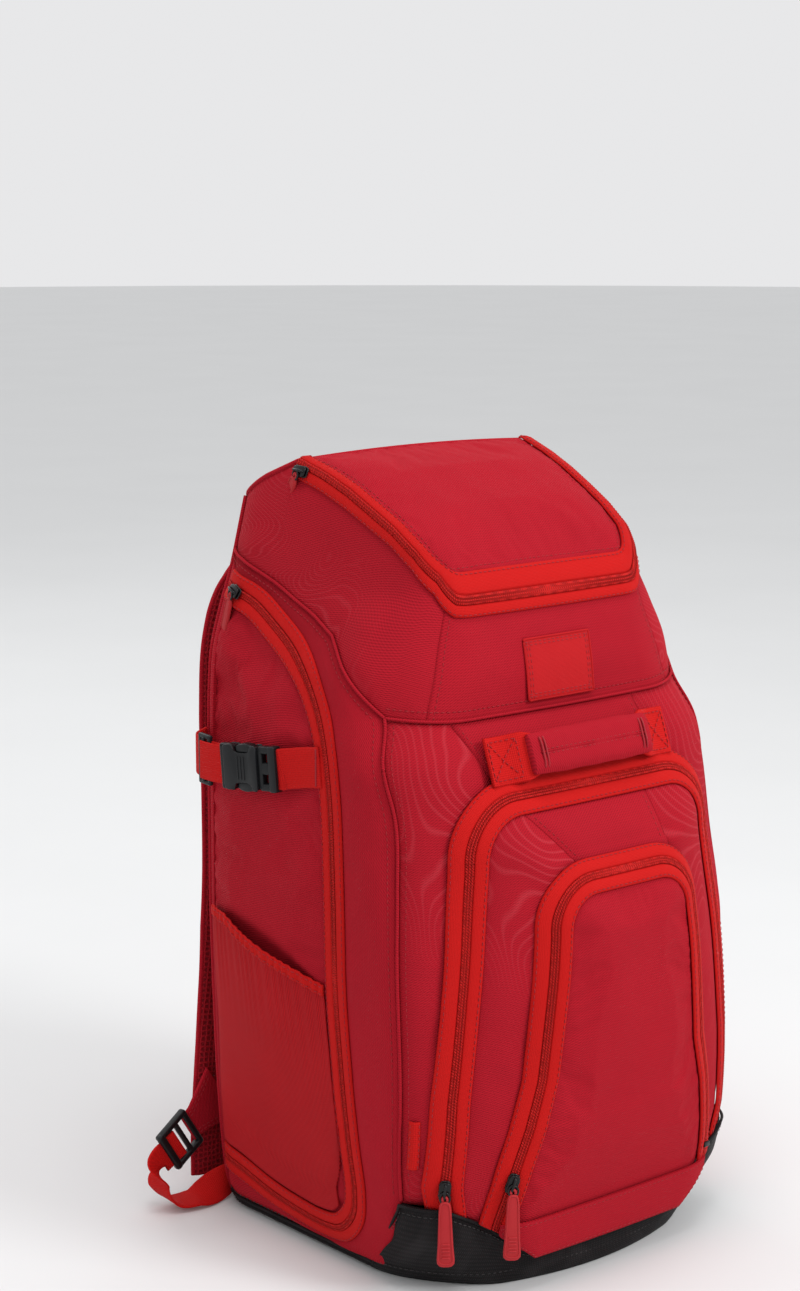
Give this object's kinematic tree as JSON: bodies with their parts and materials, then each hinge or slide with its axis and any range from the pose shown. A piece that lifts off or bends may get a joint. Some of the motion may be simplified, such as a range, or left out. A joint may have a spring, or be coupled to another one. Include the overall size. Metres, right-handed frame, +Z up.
{
  "type": "baseball bat backpack",
  "caption": "Padded backpack that stands upright, with a zipped lid, open bat sleeves at the back, arched front pockets, side stretch pockets and slack side straps with buckles.",
  "frame": {"origin": "underside of the base, on the plane of symmetry, near the middle of the depth", "axes": "+Z up, -Y towards the front pockets, +X to the viewer's right when facing the front"},
  "size_m": [0.4236, 0.3686, 0.5929],
  "materials": {
    "twill": "fine woven polyester over foam",
    "printed_twill": "fine woven polyester with a tone on tone line print",
    "coated_cloth": "polymer coated cloth, low sheen",
    "zip_tape": "woven zipper tape with nylon coil",
    "webbing": "ribbed polyester webbing",
    "stretch_mesh": "knitted stretch mesh, fine upright ribs",
    "spacer_mesh": "knitted spacer mesh over foam",
    "lining": "plain woven lining",
    "patch_cloth": "bare stitched patch",
    "slider_metal": "gloss black die cast zinc",
    "pull_rubber": "moulded matt rubber",
    "buckle_plastic": "moulded acetal, satin"
  },
  "bodies": {
    "root": {"base_boot": "coated_cloth", "back_panel": "twill", "side_panel_left": "twill", "side_panel_right": "twill", "side_door_left": "twill", "side_door_right": "twill", "side_door_zip_left": "zip_tape", "side_door_zip_right": "zip_tape", "side_door_slider_left": "slider_metal", "side_door_slider_right": "slider_metal", "side_door_pull_left": "pull_rubber", "side_door_pull_right": "pull_rubber", "side_pocket_left": "stretch_mesh", "side_pocket_right": "stretch_mesh", "glove_strap_front_left": "webbing", "glove_strap_front_right": "webbing", "glove_buckle_plug_left": "buckle_plastic", "glove_buckle_plug_right": "buckle_plastic", "glove_buckle_socket_left": "buckle_plastic", "glove_buckle_socket_right": "buckle_plastic", "glove_strap_rear_left": "webbing", "glove_strap_rear_right": "webbing", "glove_strap_adjuster_left": "buckle_plastic", "glove_strap_adjuster_right": "buckle_plastic", "front_panel": "printed_twill", "yoke": "twill", "shoulder_panel_left": "printed_twill", "shoulder_panel_right": "printed_twill", "lid": "twill", "lid_zip": "zip_tape", "lid_slider": "slider_metal", "lid_pull": "pull_rubber", "bat_sleeve_wall": "lining", "bat_sleeve_divider": "lining", "large_pocket": "printed_twill", "large_pocket_zip": "zip_tape", "large_pocket_slider": "slider_metal", "large_pocket_pull": "pull_rubber", "small_pocket": "twill", "small_pocket_zip": "zip_tape", "small_pocket_slider": "slider_metal", "small_pocket_pull": "pull_rubber", "lower_band": "twill", "haul_handle": "webbing", "haul_handle_grip": "twill", "patch": "patch_cloth", "corner_tab": "webbing", "back_pad": "spacer_mesh", "shoulder_strap_left": "twill", "shoulder_strap_right": "twill", "strap_wing_left": "twill", "strap_wing_right": "twill", "strap_ladder_lock_left": "buckle_plastic", "strap_ladder_lock_right": "buckle_plastic", "strap_webbing_left": "webbing", "strap_webbing_right": "webbing"}
  },
  "joints": []
}
